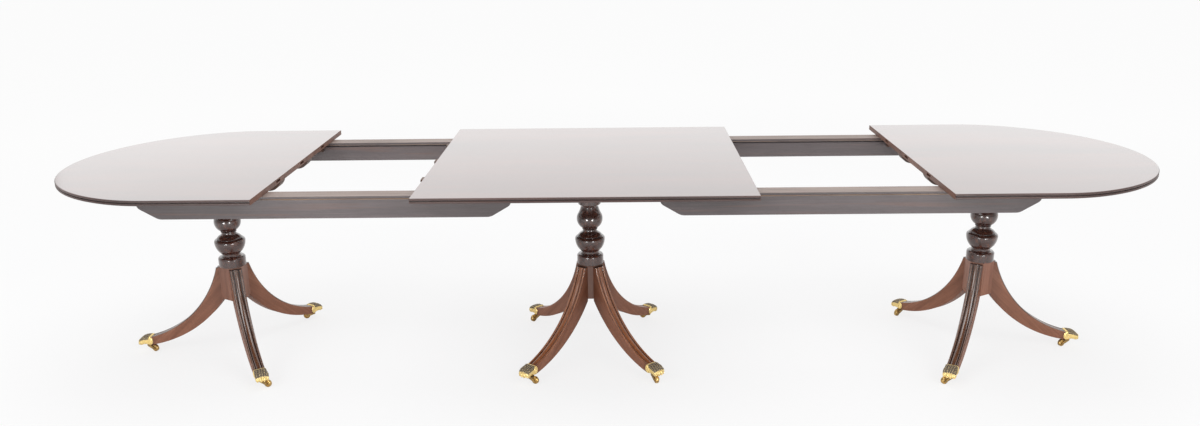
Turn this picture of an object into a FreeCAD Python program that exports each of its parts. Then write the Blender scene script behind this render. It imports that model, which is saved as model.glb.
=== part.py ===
import FreeCAD, Part
import math
import os

# Overall sizes in millimetres: X along the table, Y away from its front, Z up from the floor
table_height = 750.0
table_width = 1070.0
centre_length = 1096.0
end_depth = 835.0
end_corner_spacing = 270.0
end_flattening = 40.0
left_opening = 500.0
right_opening = 600.0
column_setback = 302.0

# Tops and the two half-round reeds along their outer edges
top_thickness = 18.0
edge_groove = 1.6

# Tongues and sockets that line up the straight edges
tongue_pitch = 262.0
tongue_width = 40.0
tongue_thickness = 7.0
tongue_reach = 12.0
tongue_hold = 22.0
socket_spare = 4.0
socket_clearance = 0.5

# Bearers and head blocks under the tops
bearer_offset = 160.0
bearer_width = 54.0
bearer_depth = 47.0
bearer_round = 42.0
end_bearer_setback = 20.0
end_bearer_length = 560.0
block_length = 260.0
block_thickness = 45.0
block_chamfer = 8.0

# Sliding rails and the guides that carry them
rail_length = 1218.0
rail_width = 70.0
rail_height = 72.0
rail_inset = 97.5
rail_lap = 308.0
rail_end_run = 68.0
rail_nose_drop = 10.0
rail_nose_radius = 22.0
rail_toe_radius = 40.0
rabbet_depth = 6.0
rabbet_height = 9.0
groove_depth = 8.0
groove_height = 6.0
groove_lip = 10.0
slide_clearance = 0.5
guide_setback = 28.0
guide_length = 250.0
strip_width = 12.0
guide_width = 20.0
guide_height = 33.0
guide_screw_inset = 40.0

# Faceted foot of the column
foot_across = 92.0
foot_bottom_z = 220.0
foot_top_z = 349.0
foot_margin = 1.0

# Turned column, from the foot upwards
collar_diameter = 98.0
collar_height = 36.0
collar_round = 9.0
neck_diameter = 66.0
neck_height = 11.0
neck_cove = 2.0
bowl_diameter = 111.0
bowl_height = 47.0
bowl_shoulder_diameter = 92.0
bowl_shoulder_height = 10.5
quirk_diameter = 87.0
quirk_height = 2.5
ovolo_diameter = 91.0
ovolo_top_diameter = 60.0
ovolo_height = 13.0
ovolo_swell = 2.5
waist_diameter = 52.0
waist_height = 10.0
waist_cove = 1.5
bead_diameter = 57.0
bead_height = 5.0
vase_diameter = 96.0
vase_belly_height = 36.0
vase_shoulder_diameter = 85.0
vase_shoulder_height = 20.0
vase_neck_diameter = 65.0
vase_neck_height = 28.0
vase_hollow = 1.5
capital_diameter = 83.0
capital_height = 10.0
capital_hollow = 1.0
column_tenon_diameter = 50.0
column_tenon_length = 38.0

# Sabre leg: side shape, taper, reeds, dovetail and toe tenon
leg_reach = 348.0
leg_ear = 13.0
leg_root_top_z = 343.0
leg_root_bottom_z = 212.0
leg_toe_top_z = 60.0
leg_toe_bottom_z = 29.0
leg_upper_radius = 412.0
leg_lower_radius = 470.0
leg_root_width = 44.0
leg_toe_width = 38.0
reed_radius = 14.0
reed_depth = 4.0
edge_bead_radius = 4.0
edge_bead_pitch = 16.0
reed_stock = 1.6
tail_neck_width = 18.0
tail_width = 24.0
tail_depth = 14.0
tail_shoulder = 16.0
toe_tenon_width = 26.0
toe_tenon_height = 9.0
toe_tenon_length = 26.0
toe_tenon_drop = 5.0
joint_clearance = 0.15

# Cast paw shoe on the end of the leg
shoe_length = 54.0
shoe_band = 1.5
shoe_swell = 24.0
shoe_drop = 5.0
toe_radius = 7.5
toe_pitch = 12.5
toe_setback = 6.0

# Castor under the shoe
wheel_diameter = 27.0
wheel_width = 12.0
wheel_round = 3.0
wheel_hub_diameter = 14.0
wheel_dish = 1.5
wheel_land = 0.8
castor_offset = 13.0
castor_trail = 26.0
stem_diameter = 8.0
stem_length = 15.0
crown_diameter = 16.0
crown_height = 11.0
fork_arm_thickness = 3.0
fork_eye_radius = 5.0
axle_diameter = 4.0
axle_head_diameter = 6.5
axle_head = 1.0
running_clearance = 0.05
wheel_side_clearance = 0.4
crown_clearance = 0.3

# Countersunk wood screws
screw_diameter = 4.8
screw_head_diameter = 9.0
screw_head_height = 3.5
screw_slot = 1.2
screw_bite = 12.0
block_screw_x = 95.0
bearer_screw_inset = 85.0
screw_clearance = 0.1

# Direction of each leg and heading of its castor, in degrees seen from above
legs = {
    "left": {"outer": (180, -22), "front": (-60, -15), "back": (60, 190)},
    "centre": {
        "front_left": (-126.5, -35),
        "front_right": (-51, -70),
        "back_left": (129, 229),
        "back_right": (51, 148),
    },
    "right": {"outer": (0, 204), "front": (-120, 203), "back": (120, 221)},
}

# Places worked out from the sizes above
half_width = table_width / 2
half_centre = centre_length / 2
end_side = end_depth - half_width + end_flattening
under_z = table_height - top_thickness
bearer_bottom_z = under_z - bearer_depth
block_bottom_z = bearer_bottom_z - block_thickness
edge_reed_radius = (top_thickness - edge_groove) / 4
centre_x = (left_opening - right_opening) / 2
left_edge_x = centre_x - half_centre - left_opening
right_edge_x = centre_x + half_centre + right_opening
rail_outer_y = half_width - rail_inset
rail_inner_y = rail_outer_y - rail_width
rail_top_z = under_z - slide_clearance
rail_bottom_z = rail_top_z - rail_height
foot_apothem = foot_across / 2
shoe_bottom_z = leg_toe_bottom_z
tongue_z = table_height - top_thickness / 2
swivel_radius = leg_reach + castor_offset
axle_z = wheel_diameter / 2

up = FreeCAD.Vector(0, 0, 1)
origin = FreeCAD.Vector(0, 0, 0)


def vec(x, y, z):
    return FreeCAD.Vector(x, y, z)


def box(x0, x1, y0, y1, z0, z1):
    """A block between two corners, given in any order."""
    low = vec(min(x0, x1), min(y0, y1), min(z0, z1))
    return Part.makeBox(abs(x1 - x0), abs(y1 - y0), abs(z1 - z0), low)


def placed(shape, x, angle):
    """A copy turned about the vertical through the origin, then moved along X."""
    copy = shape.copy()
    copy.rotate(origin, up, angle)
    copy.translate(vec(x, 0, 0))
    return copy


def line(a, b):
    return Part.LineSegment(a, b).toShape()


def arc(a, middle, b):
    return Part.Arc(a, middle, b).toShape()


def arc_of_radius(a, b, radius):
    """An arc from a to b, bulging to the left of the way from a to b in the XZ plane."""
    chord = b - a
    half = chord.Length / 2
    left = vec(-chord.z, 0, chord.x).normalize()
    rise = radius - math.sqrt(radius**2 - half**2)
    return arc(a, (a + b) / 2 + left * rise, b)


def arc_centre(a, b, radius):
    """Centre of the arc that arc_of_radius draws."""
    chord = b - a
    left = vec(-chord.z, 0, chord.x).normalize()
    return (a + b) / 2 - left * math.sqrt(radius**2 - (chord.Length / 2)**2)


def rounded_face(points, radii):
    """A flat face with straight sides, and an arc at each corner that has a radius."""
    starts = []
    ends = []
    middles = []
    for i, corner in enumerate(points):
        back = (points[i - 1] - corner).normalize()
        ahead = (points[(i + 1) % len(points)] - corner).normalize()
        half_turn = back.getAngle(ahead) / 2
        reach = radii[i] / math.tan(half_turn)
        inward = (back + ahead).normalize()
        starts.append(corner + back * reach)
        ends.append(corner + ahead * reach)
        middles.append(corner + inward * (radii[i] / math.sin(half_turn) - radii[i]))
    edges = []
    for i in range(len(points)):
        if radii[i] > 0:
            edges.append(arc(starts[i], middles[i], ends[i]))
        edges.append(line(ends[i], starts[(i + 1) % len(points)]))
    return Part.Face(Part.Wire(edges))


def save(node, solids):
    """Write the solids of one node to its own file."""
    shape = solids[0] if len(solids) == 1 else Part.makeCompound(solids)
    shape.exportStep(os.path.join("parts", node + ".step"))


# Table tops

def reed_face(at):
    """Two half discs, one above the other, that stand outwards along +Y of a point at the board's foot."""
    faces = []
    for middle_z in (edge_reed_radius, top_thickness - edge_reed_radius):
        low = at + vec(0, 0, middle_z - edge_reed_radius)
        high = at + vec(0, 0, middle_z + edge_reed_radius)
        nose = at + vec(0, edge_reed_radius, middle_z)
        faces.append(Part.Face(Part.Wire([arc(low, nose, high), line(high, low)])))
    return faces


def end_arcs():
    """Centres, radii and angles of the three tangent arcs of an end's outline, with X outwards."""
    corner_y = end_corner_spacing / 2
    corner_radius = half_width - corner_y
    run = end_depth - end_side
    spare = run - corner_radius
    end_radius = (run**2 + corner_y**2 - corner_radius**2) / (2 * spare)
    end_centre_x = end_depth - end_radius
    turn = math.degrees(math.atan2(corner_y, end_side - end_centre_x))
    return [
        (vec(end_side, -corner_y, under_z), corner_radius, -90, -turn),
        (vec(end_centre_x, 0, under_z), end_radius, -turn, turn),
        (vec(end_side, corner_y, under_z), corner_radius, turn, 90),
    ]


def polar(centre, radius, degrees):
    angle = math.radians(degrees)
    return centre + vec(radius * math.cos(angle), radius * math.sin(angle), 0)


def end_top():
    """A D-shaped top with its straight edge on X = 0 and its curve outwards along +X."""
    core_y = half_width - edge_reed_radius
    corners = [vec(0, core_y, under_z), vec(0, -core_y, under_z)]
    edges = [line(corners[0], corners[1]), line(corners[1], vec(end_side, -core_y, under_z))]
    mouldings = []
    for centre, radius, start, stop in end_arcs():
        core = radius - edge_reed_radius
        ends = [polar(centre, core, angle) for angle in (start, (start + stop) / 2, stop)]
        edges.append(arc(*ends))
        for face in reed_face(centre + vec(0, core, 0)):
            face.rotate(centre, up, start - 90)
            mouldings.append(face.revolve(centre, up, stop - start))
    edges.append(line(vec(end_side, core_y, under_z), corners[0]))
    board = Part.Face(Part.Wire(edges)).extrude(vec(0, 0, top_thickness))
    for face in reed_face(vec(0, core_y, under_z)):
        side = face.extrude(vec(end_side, 0, 0))
        mouldings.append(side)
        mouldings.append(side.mirror(origin, vec(0, 1, 0)))
    return board.fuse(mouldings)


def centre_top():
    """The rectangular top, centred on the origin, with reeded front and back edges."""
    core_y = half_width - edge_reed_radius
    board = box(-half_centre, half_centre, -core_y, core_y, under_z, table_height)
    mouldings = []
    for face in reed_face(vec(-half_centre, core_y, under_z)):
        side = face.extrude(vec(centre_length, 0, 0))
        mouldings.append(side)
        mouldings.append(side.mirror(origin, vec(0, 1, 0)))
    return board.fuse(mouldings)


def tongue_places():
    return [-tongue_pitch, 0, tongue_pitch]


def tongues(x0, x1, spare):
    """A tongue's block at each place along a straight edge, with room to spare round it."""
    wide = tongue_width / 2 + spare
    thick = tongue_thickness / 2 + spare
    return [box(x0, x1, y - wide, y + wide, tongue_z - thick, tongue_z + thick) for y in tongue_places()]


# Bearers, head blocks and screws

def bearer(x0, x1, y):
    """A bearer along X with quarter-round lower ends."""
    front = y - bearer_width / 2
    points = [
        vec(x0, front, under_z),
        vec(x1, front, under_z),
        vec(x1, front, bearer_bottom_z),
        vec(x0, front, bearer_bottom_z),
    ]
    face = rounded_face(points, [0, 0, bearer_round, bearer_round])
    return face.extrude(vec(0, bearer_width, 0))


def head_block():
    """The block on top of a column, chamfered along its lower edges, with a bore for the tenon."""
    half_x = block_length / 2
    half_y = bearer_offset + bearer_width / 2
    block = box(-half_x, half_x, -half_y, half_y, block_bottom_z, bearer_bottom_z)
    lower = [e for e in block.Edges if e.BoundBox.ZMax < block_bottom_z + block_chamfer]
    block = block.makeChamfer(block_chamfer, lower)
    bore_radius = column_tenon_diameter / 2 + joint_clearance
    depth = column_tenon_length + joint_clearance
    return block.cut(Part.makeCylinder(bore_radius, depth, vec(0, 0, block_bottom_z)))


def screw_body(length, spare):
    """A countersunk head and shank that point upwards from the origin, with room to spare round them."""
    head = screw_head_diameter / 2 + spare
    shank = screw_diameter / 2 + spare
    cone = Part.makeCone(head, shank, screw_head_height)
    return cone.fuse(Part.makeCylinder(shank, length + spare))


def screw(length):
    """A screw with a slotted head."""
    half = screw_head_diameter
    slot = box(-half, half, -screw_slot / 2, screw_slot / 2, 0, screw_slot)
    return screw_body(length, 0).cut(slot)


class Fixings:
    """Collects the screws of one section and the holes that they need."""

    def __init__(self):
        self.screws = []
        self.holes = []

    def add(self, x, y, z, length):
        for made, shape in ((self.screws, screw(length)), (self.holes, screw_body(length, screw_clearance))):
            shape.translate(vec(x, y, z))
            made.append(shape)


# Rails and guides

def rail():
    """A rail centred on X = 0 on the back side, rabbeted outside and grooved inside."""
    half = rail_length / 2
    points = []
    for side in (-1, 1):
        ends = [
            vec(side * half, rail_inner_y, rail_top_z),
            vec(side * half, rail_inner_y, rail_top_z - rail_nose_drop - rail_nose_radius),
            vec(side * (half - rail_end_run), rail_inner_y, rail_bottom_z),
        ]
        points += ends if side > 0 else ends[::-1]
    radii = [rail_toe_radius, rail_nose_radius, 0, 0, rail_nose_radius, rail_toe_radius]
    bar = rounded_face(points, radii).extrude(vec(0, rail_width, 0))
    past = half + rail_width
    ledge_z = rail_top_z - rabbet_height
    ledge_y = rail_outer_y - rabbet_depth
    rabbet = box(-past, past, ledge_y, rail_outer_y + rail_width, ledge_z, under_z)
    groove_top = rail_top_z - groove_lip
    groove_back = rail_inner_y + groove_depth
    groove = box(-past, past, rail_inner_y - rail_width, groove_back, groove_top - groove_height, groove_top)
    return bar.cut([rabbet, groove])


def guides(x0, x1):
    """Outer strip and tongued inner guide on both sides, between two places along X."""
    strip_y = rail_outer_y - rabbet_depth + slide_clearance
    strip_bottom = rail_top_z - rabbet_height + slide_clearance
    strip = box(x0, x1, strip_y, strip_y + strip_width, strip_bottom, under_z)
    guide_y = rail_inner_y - slide_clearance
    block = box(x0, x1, guide_y - guide_width, guide_y, under_z - guide_height, under_z)
    groove_top = rail_top_z - groove_lip
    tongue_top = groove_top - slide_clearance
    tongue_bottom = groove_top - groove_height + slide_clearance
    tongue_y = rail_inner_y + groove_depth - slide_clearance
    tongue = box(x0, x1, guide_y, tongue_y, tongue_bottom, tongue_top)
    back = [strip, block.fuse(tongue).removeSplitter()]
    return back + [piece.mirror(origin, vec(0, 1, 0)) for piece in back]


def add_guide_screws(fixings, x0, x1):
    middle_y = rail_inner_y - slide_clearance - guide_width / 2
    for x in (min(x0, x1) + guide_screw_inset, max(x0, x1) - guide_screw_inset):
        for y in (-middle_y, middle_y):
            fixings.add(x, y, under_z - guide_height, guide_height + screw_bite)


# Columns

def belly(r_end, z_end, r_max, z_max):
    """An arc between a narrow place and a widest place, upright at the widest."""
    drop = r_max - r_end
    rise = z_end - z_max
    radius = (drop**2 + rise**2) / (2 * drop)
    turn = math.atan2(abs(rise), radius - drop) / 2
    side = math.copysign(1, rise)
    return vec(r_max - radius + radius * math.cos(turn), 0, z_max + side * radius * math.sin(turn))


def hollow(r0, z0, r1, z1, bend):
    """The middle of a curve between two places, pulled towards the axis by bend, or away if below 0."""
    return vec((r0 + r1) / 2 - bend, 0, (z0 + z1) / 2)


def column_profile():
    """Half outline of the turned column and its top tenon, from the foot upwards."""
    collar = collar_diameter / 2
    neck = neck_diameter / 2
    bowl = bowl_diameter / 2
    shoulder = bowl_shoulder_diameter / 2
    quirk = quirk_diameter / 2
    ovolo = ovolo_diameter / 2
    ovolo_end = ovolo_top_diameter / 2
    waist = waist_diameter / 2
    bead = bead_diameter / 2
    vase = vase_diameter / 2
    vase_shoulder = vase_shoulder_diameter / 2
    vase_neck = vase_neck_diameter / 2
    capital = capital_diameter / 2
    tenon = column_tenon_diameter / 2
    collar_top = foot_top_z + collar_height
    bowl_bottom = collar_top + neck_height
    bowl_top = bowl_bottom + bowl_height
    shoulder_top = bowl_top + bowl_shoulder_height
    quirk_top = shoulder_top + quirk_height
    ovolo_top = quirk_top + ovolo_height
    waist_top = ovolo_top + waist_height
    bead_top = waist_top + bead_height
    belly_z = bead_top + vase_belly_height
    vase_shoulder_z = belly_z + vase_shoulder_height
    vase_top = vase_shoulder_z + vase_neck_height
    capital_low = vase_top + capital_height
    collar_shoulder = collar - collar_round
    quarter = collar_round * math.sqrt(0.5)
    round_middle = vec(collar_shoulder + quarter, 0, collar_top - collar_round + quarter)
    neck_low = collar_top + neck_height / 2
    at = [
        (vec(0, 0, foot_top_z), None),
        (vec(collar, 0, foot_top_z), None),
        (vec(collar, 0, collar_top - collar_round), round_middle),
        (vec(collar_shoulder, 0, collar_top), hollow(collar_shoulder, collar_top, neck, neck_low, neck_cove)),
        (vec(neck, 0, neck_low), None),
        (vec(neck, 0, bowl_bottom), belly(neck, bowl_bottom, bowl, bowl_top)),
        (vec(bowl, 0, bowl_top), belly(shoulder, shoulder_top, bowl, bowl_top)),
        (vec(shoulder, 0, shoulder_top), None),
        (vec(quirk, 0, shoulder_top), None),
        (vec(quirk, 0, quirk_top), None),
        (vec(ovolo, 0, quirk_top), hollow(ovolo, quirk_top, ovolo_end, ovolo_top, -ovolo_swell)),
        (vec(ovolo_end, 0, ovolo_top), hollow(ovolo_end, ovolo_top, waist, waist_top, waist_cove)),
        (vec(waist, 0, waist_top), hollow(waist, waist_top, waist, bead_top, waist - bead)),
        (vec(waist, 0, bead_top), belly(waist, bead_top, vase, belly_z)),
        (vec(vase, 0, belly_z), belly(vase_shoulder, vase_shoulder_z, vase, belly_z)),
        (
            vec(vase_shoulder, 0, vase_shoulder_z),
            hollow(vase_shoulder, vase_shoulder_z, vase_neck, vase_top, vase_hollow),
        ),
        (vec(vase_neck, 0, vase_top), hollow(vase_neck, vase_top, capital, capital_low, capital_hollow)),
        (vec(capital, 0, capital_low), None),
        (vec(capital, 0, block_bottom_z), None),
        (vec(tenon, 0, block_bottom_z), None),
        (vec(tenon, 0, block_bottom_z + column_tenon_length), None),
        (vec(0, 0, block_bottom_z + column_tenon_length), None),
    ]
    edges = []
    for (start, middle), (stop, _) in zip(at, at[1:] + at[:1]):
        edges.append(arc(start, middle, stop) if middle else line(start, stop))
    return Part.Face(Part.Wire(edges))


def dovetail(spare):
    """The tail behind a leg's root, upright in the foot, with room to spare round it."""
    face_x = foot_apothem
    tip_x = face_x - tail_depth - spare
    neck = tail_neck_width / 2 + spare
    tip = tail_width / 2 + spare
    points = [vec(face_x, -neck, foot_bottom_z), vec(face_x, neck, foot_bottom_z)]
    points += [vec(tip_x, tip, foot_bottom_z), vec(tip_x, -tip, foot_bottom_z)]
    face = rounded_face(points, [0, 0, 0, 0])
    return face.extrude(vec(0, 0, leg_root_top_z - tail_shoulder - foot_bottom_z + spare))


def column(leg_angles):
    """A turned column on its faceted foot, with a face and a slot for a leg at each of the angles."""
    half_face = leg_root_width / 2 + foot_margin
    spread = math.degrees(math.atan2(half_face, foot_apothem))
    reach = math.hypot(half_face, foot_apothem)
    corners = []
    for angle in sorted(leg_angles):
        for side in (-spread, spread):
            corners.append(polar(vec(0, 0, foot_bottom_z), reach, angle + side))
    foot = rounded_face(corners, [0] * len(corners)).extrude(vec(0, 0, foot_top_z - foot_bottom_z))
    turned = column_profile().revolve(origin, up, 360)
    slots = [placed(dovetail(joint_clearance), 0, angle) for angle in leg_angles]
    return foot.fuse(turned).cut(slots)


# Legs

def upper_arc_ends():
    return vec(leg_reach, 0, leg_toe_top_z), vec(foot_apothem + leg_ear, 0, leg_root_top_z)


def leg_blank():
    """The leg's side shape as a tapering slab, a little over size along its upper edge."""
    inner = leg_upper_radius - reed_stock
    toe, root = upper_arc_ends()
    centre = arc_centre(toe, root, leg_upper_radius)
    toe_out = centre + (toe - centre) * (inner / leg_upper_radius)
    root_out = centre + (root - centre) * (inner / leg_upper_radius)
    toe_top = vec(leg_reach, 0, toe_out.z)
    ear = vec(root_out.x, 0, leg_root_top_z)
    back_top = vec(foot_apothem, 0, leg_root_top_z)
    back_low = vec(foot_apothem, 0, leg_root_bottom_z)
    toe_low = vec(leg_reach, 0, leg_toe_bottom_z)
    edges = [
        line(back_low, back_top),
        line(back_top, ear),
        arc_of_radius(toe_top, ear, inner),
        line(toe_top, toe_low),
        arc_of_radius(toe_low, back_low, leg_lower_radius),
    ]
    face = Part.Face(Part.Wire(edges))
    slab = face.extrude(vec(0, leg_root_width, 0))
    slab.translate(vec(0, -leg_root_width / 2, 0))
    root_half = leg_root_width / 2
    toe_half = leg_toe_width / 2
    plan = [
        vec(foot_apothem, -root_half, 0),
        vec(leg_reach, -toe_half, 0),
        vec(leg_reach, toe_half, 0),
        vec(foot_apothem, root_half, 0),
    ]
    return slab.common(rounded_face(plan, [0] * len(plan)).extrude(vec(0, 0, foot_top_z)))


def reed_cutter():
    """What is carved away over and beside the broad reed and the two edge beads of the leg's upper face."""
    toe, root = upper_arc_ends()
    centre = arc_centre(toe, root, leg_upper_radius)
    across = vec(0, 1, 0)
    start = centre - across * leg_root_width
    drum = Part.makeCylinder(leg_upper_radius + reed_depth, 2 * leg_root_width, start, across)
    reeds = [Part.makeTorus(leg_upper_radius + reed_radius, reed_radius, centre, across)]
    for side in (-edge_bead_pitch, edge_bead_pitch):
        middle = centre + across * side
        reeds.append(Part.makeTorus(leg_upper_radius + edge_bead_radius, edge_bead_radius, middle, across))
    return drum.cut(reeds)


def toe_tenon(spare):
    """The tenon on the leg's toe, with room to spare round it."""
    top = leg_toe_top_z - toe_tenon_drop + spare
    low = leg_toe_top_z - toe_tenon_drop - toe_tenon_height - spare
    half = toe_tenon_width / 2 + spare
    return box(leg_reach, leg_reach + toe_tenon_length + spare, -half, half, low, top)


def leg():
    """A leg that points along +X from the column's axis."""
    return leg_blank().cut(reed_cutter()).fuse([dovetail(0), toe_tenon(0)])


# Paw shoes and castors

def shoe_section(x, half, low, high, radius):
    """A rounded rectangle across the leg's direction."""
    points = [vec(x, -half, low), vec(x, half, low), vec(x, half, high), vec(x, -half, high)]
    return rounded_face(points, [radius] * 4).OuterWire


def paw_shoe():
    """A paw with four toes, bored for the castor's stem and socketed for the leg's tenon."""
    low = shoe_bottom_z
    crown = leg_toe_top_z + shoe_band
    front = leg_reach + shoe_length - toe_setback
    knuckle = front - toe_radius
    band = leg_toe_width / 2 + shoe_band
    sections = [
        shoe_section(leg_reach, band, low, crown, toe_radius / 2),
        shoe_section(leg_reach + castor_offset, band, low, crown + shoe_band, toe_radius),
        shoe_section(knuckle, shoe_swell, low, crown - shoe_drop, toe_radius),
        shoe_section(front, shoe_swell - toe_radius, low + shoe_band, crown - shoe_drop - toe_radius, toe_radius),
    ]
    under = box(leg_reach, leg_reach + shoe_length, -2 * shoe_swell, 2 * shoe_swell, 0, low)
    paw = Part.makeLoft(sections, True).cut(under)
    toes = []
    for k in (-1.5, -0.5, 0.5, 1.5):
        back = toe_setback if abs(k) > 1 else 0
        middle = vec(leg_reach + shoe_length - toe_radius - back, k * toe_pitch, low + toe_radius)
        toes.append(Part.makeSphere(toe_radius, middle))
    bore = Part.makeCylinder(
        stem_diameter / 2 + running_clearance,
        stem_length + crown_clearance,
        vec(swivel_radius, 0, low),
    )
    return paw.fuse(toes).cut([bore, toe_tenon(joint_clearance)])


def arm_face(y):
    """Outline of one fork arm: two eyes of different size, joined by their outer tangents."""
    crown_z = shoe_bottom_z - crown_clearance - crown_height / 2
    a = vec(0, y, crown_z)
    b = vec(castor_trail, y, axle_z)
    big = crown_height / 2
    reach = (b - a).Length
    along = (b - a).normalize()
    across = vec(-along.z, 0, along.x)
    lean = math.asin((big - fork_eye_radius) / reach)
    upper = along * math.sin(lean) + across * math.cos(lean)
    lower = along * math.sin(lean) - across * math.cos(lean)
    edges = [
        line(a + upper * big, b + upper * fork_eye_radius),
        arc(b + upper * fork_eye_radius, b + along * fork_eye_radius, b + lower * fork_eye_radius),
        line(b + lower * fork_eye_radius, a + lower * big),
        arc(a + lower * big, a - along * big, a + upper * big),
    ]
    return Part.Face(Part.Wire(edges))


def castor_fork():
    """Stem, crown and two arms, trailing along +X from the swivel axis, and the riveted axle pin."""
    crown_top = shoe_bottom_z - crown_clearance
    crown = Part.makeCylinder(crown_diameter / 2, crown_height, vec(0, 0, crown_top - crown_height))
    stem = Part.makeCylinder(stem_diameter / 2, stem_length + crown_clearance, vec(0, 0, crown_top))
    inside = wheel_width / 2 + wheel_side_clearance
    outside = inside + fork_arm_thickness
    arms = [arm_face(inside).extrude(vec(0, fork_arm_thickness, 0))]
    arms.append(arm_face(-outside).extrude(vec(0, fork_arm_thickness, 0)))
    across = vec(0, 1, 0)
    start = vec(castor_trail, -outside, axle_z)
    hole = Part.makeCylinder(axle_diameter / 2 + running_clearance, 2 * outside, start, across)
    fork = stem.fuse([crown] + arms).cut(hole)
    pin = Part.makeCylinder(axle_diameter / 2, 2 * outside, start, across)
    near_head = Part.makeCylinder(axle_head_diameter / 2, axle_head, start - across * axle_head, across)
    far_head = Part.makeCylinder(axle_head_diameter / 2, axle_head, start + across * (2 * outside), across)
    return [fork, pin.fuse([near_head, far_head])]


def castor_wheel():
    """A wheel with a rounded tread and dished sides, on the axle."""
    half = wheel_width / 2
    rim = wheel_diameter / 2
    bore = axle_diameter / 2 + running_clearance
    hub = wheel_hub_diameter / 2
    land = rim - wheel_round - wheel_land
    points = [
        vec(bore, -half, 0),
        vec(hub, -half, 0),
        vec(hub + wheel_dish, -half + wheel_dish, 0),
        vec(land - wheel_dish, -half + wheel_dish, 0),
        vec(land, -half, 0),
        vec(rim, -half, 0),
    ]
    points += [vec(p.x, -p.y, 0) for p in reversed(points)]
    radii = [0, 0, 0, 0, 0, wheel_round, wheel_round, 0, 0, 0, 0, 0]
    wheel = rounded_face(points, radii).revolve(origin, vec(0, 1, 0), 360)
    wheel.translate(vec(castor_trail, 0, axle_z))
    return wheel


# Assembly of one section

def build_section(name, top, column_x, bearer_ends, guide_spans):
    """Fix a top to its bearers, guides, column, legs and castors, and write all their files."""
    fixings = Fixings()
    bearers = {}
    for side, y in (("front", -bearer_offset), ("back", bearer_offset)):
        bearers[side] = bearer(bearer_ends[0], bearer_ends[1], y)
        for x in (bearer_ends[0] + bearer_screw_inset, bearer_ends[1] - bearer_screw_inset):
            fixings.add(x, y, bearer_bottom_z, bearer_depth + screw_bite)
        for x in (column_x - block_screw_x, column_x + block_screw_x):
            fixings.add(x, y, block_bottom_z, block_thickness + bearer_depth - screw_bite)
    rail_guides = []
    for x0, x1 in guide_spans:
        rail_guides += guides(x0, x1)
        add_guide_screws(fixings, x0, x1)
    save(name + "_top", [top.cut(fixings.holes)])
    for side, shape in bearers.items():
        save(name + "_" + side + "_bearer", [shape.cut(fixings.holes)])
    save(name + "_head_block", [placed(head_block(), column_x, 0).cut(fixings.holes)])
    save(name + "_rail_guides", [shape.cut(fixings.holes) for shape in rail_guides])
    save(name + "_screws", fixings.screws)
    stand = legs[name]
    save(name + "_column", [placed(column([pair[0] for pair in stand.values()]), column_x, 0)])
    shoes = []
    for place, (angle, heading) in stand.items():
        node = name + "_" + place
        save(node + "_leg", [placed(leg(), column_x, angle)])
        shoes.append(placed(paw_shoe(), column_x, angle))
        swivel = polar(vec(column_x, 0, 0), swivel_radius, angle)
        for part, solids in (("castor_fork", castor_fork()), ("castor_wheel", [castor_wheel()])):
            for shape in solids:
                shape.rotate(origin, up, heading)
                shape.translate(swivel)
            save(node + "_" + part, solids)
    save(name + "_paw_shoes", shoes)


os.makedirs("parts", exist_ok=True)

# The two ends are one shape, turned half round for the left
guide_end = guide_setback + guide_length
socket_depth = tongue_reach + socket_spare
socketed_end = end_top().cut(tongues(0, socket_depth, socket_clearance))
for name, edge_x, out in (("left", left_edge_x, -1), ("right", right_edge_x, 1)):
    build_section(
        name,
        placed(socketed_end, edge_x, 0 if out > 0 else 180),
        edge_x + out * column_setback,
        sorted((edge_x + out * end_bearer_setback, edge_x + out * end_bearer_length)),
        [(edge_x + out * guide_setback, edge_x + out * guide_end)],
    )

# The centre has tongues on its left edge and sockets on its right
left_side = centre_x - half_centre
right_side = centre_x + half_centre
mortises = tongues(left_side, left_side + tongue_hold, 0)
sockets = tongues(right_side - socket_depth, right_side, socket_clearance)
build_section(
    "centre",
    placed(centre_top(), centre_x, 0).cut(mortises + sockets),
    centre_x,
    (left_side, right_side),
    [
        (left_side + guide_setback, left_side + guide_end),
        (right_side - guide_end, right_side - guide_setback),
    ],
)
save("leaf_tongues", tongues(left_side - tongue_reach, left_side + tongue_hold, 0))

# Two rails in line on each side of the table
for name, middle_x in (
    ("left", left_side + rail_lap - rail_length / 2),
    ("right", right_side - rail_lap + rail_length / 2),
):
    save(name + "_back_rail", [placed(rail(), middle_x, 0)])
    save(name + "_front_rail", [placed(rail(), middle_x, 180)])
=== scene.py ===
import math

import bpy
import bmesh
import numpy as np
from mathutils import Matrix, Vector


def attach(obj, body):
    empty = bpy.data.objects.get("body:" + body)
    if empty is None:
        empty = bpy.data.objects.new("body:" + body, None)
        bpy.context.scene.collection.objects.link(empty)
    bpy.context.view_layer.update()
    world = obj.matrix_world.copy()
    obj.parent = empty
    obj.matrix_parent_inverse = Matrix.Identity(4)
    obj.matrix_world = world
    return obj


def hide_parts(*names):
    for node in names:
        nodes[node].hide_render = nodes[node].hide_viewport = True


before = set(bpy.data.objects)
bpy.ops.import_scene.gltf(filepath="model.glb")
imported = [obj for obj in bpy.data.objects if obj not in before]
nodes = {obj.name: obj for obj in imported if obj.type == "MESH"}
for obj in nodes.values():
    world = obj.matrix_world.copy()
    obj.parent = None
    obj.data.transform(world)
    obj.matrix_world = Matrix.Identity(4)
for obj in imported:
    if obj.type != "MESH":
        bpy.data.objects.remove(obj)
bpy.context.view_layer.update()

mm = 0.001

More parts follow.
